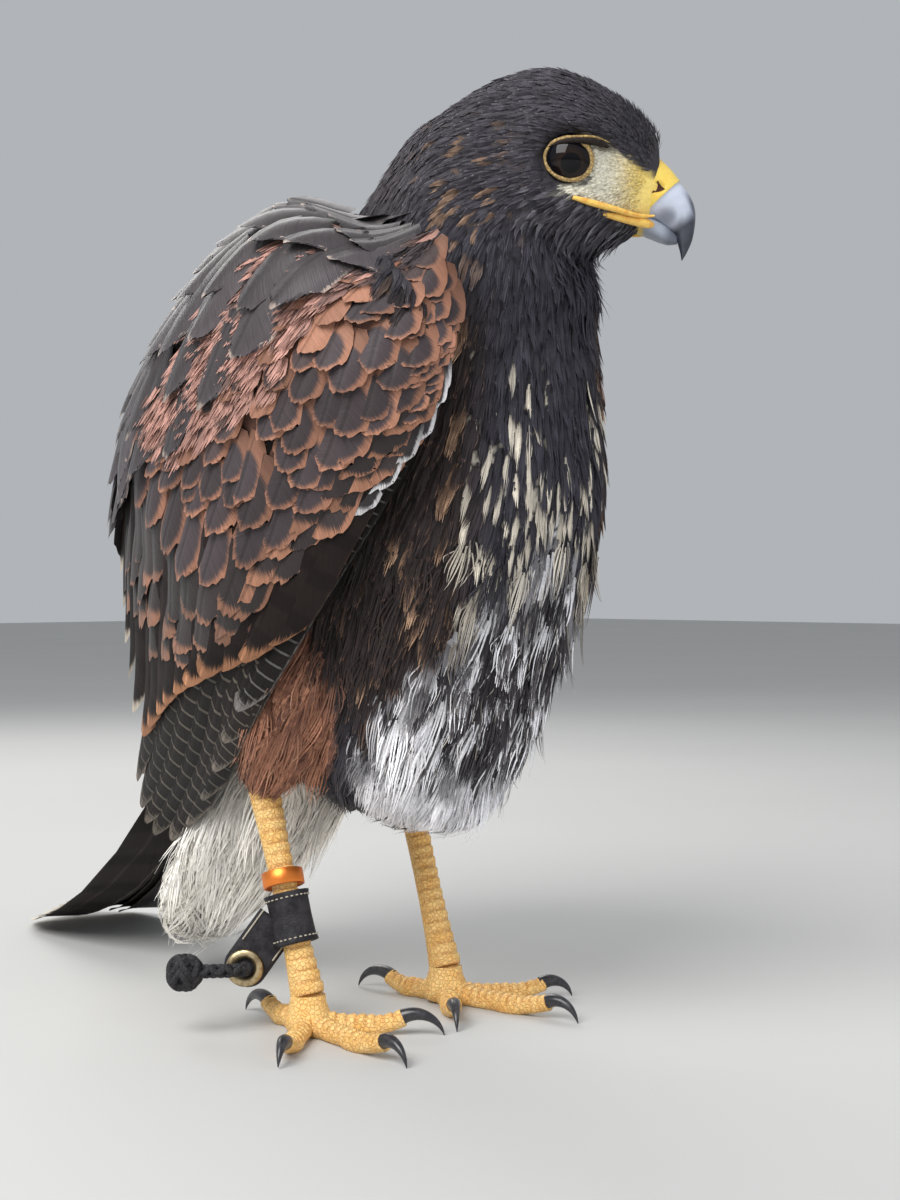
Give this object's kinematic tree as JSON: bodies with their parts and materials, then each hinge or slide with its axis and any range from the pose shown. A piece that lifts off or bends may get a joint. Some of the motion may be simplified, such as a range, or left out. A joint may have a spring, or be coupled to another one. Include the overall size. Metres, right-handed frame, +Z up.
{
  "type": "hawk",
  "caption": "Life-size standing young Harris's hawk with its head turned aside, folded wings, yellow feet and a leather anklet with a leg ring.",
  "frame": {"origin": "on the floor, under the middle of the bird's bounding box", "axes": "-Y is the way the body faces, -X is to the bird's right, +Z is up"},
  "size_m": [0.1646, 0.3642, 0.333],
  "materials": {
    "dark_feather": "matte blackish-brown feathers",
    "rufous_feather": "matte rufous-brown feathers",
    "white_feather": "soft cream-white feathers",
    "cere_skin": "waxy bright yellow skin",
    "leg_skin": "scaled orange-yellow skin",
    "horn": "satin blue-grey horn",
    "claw_horn": "polished black horn",
    "eye": "wet, glossy dark brown",
    "leather": "matte black leather and braid",
    "orange_metal": "orange anodised metal, plain",
    "brass": "worn pale brass"
  },
  "bodies": {
    "root": {"anklet": "leather", "cere": "cere_skin", "claw_hind_left": "claw_horn", "claw_hind_right": "claw_horn", "claw_inner_left": "claw_horn", "claw_inner_right": "claw_horn", "claw_middle_left": "claw_horn", "claw_middle_right": "claw_horn", "claw_outer_left": "claw_horn", "claw_outer_right": "claw_horn", "eye_left": "eye", "eye_right": "eye", "foot_left": "leg_skin", "foot_right": "leg_skin", "grommet": "brass", "head": "dark_feather", "jess_button": "leather", "leg_ring": "orange_metal", "lower_bill": "horn", "neck": "dark_feather", "tail": "dark_feather", "tarsus_left": "leg_skin", "tarsus_right": "leg_skin", "thigh_left": "rufous_feather", "thigh_right": "rufous_feather", "torso": "dark_feather", "undertail_coverts": "white_feather", "upper_bill": "horn", "wing_left": "rufous_feather", "wing_right": "rufous_feather"}
  },
  "joints": []
}
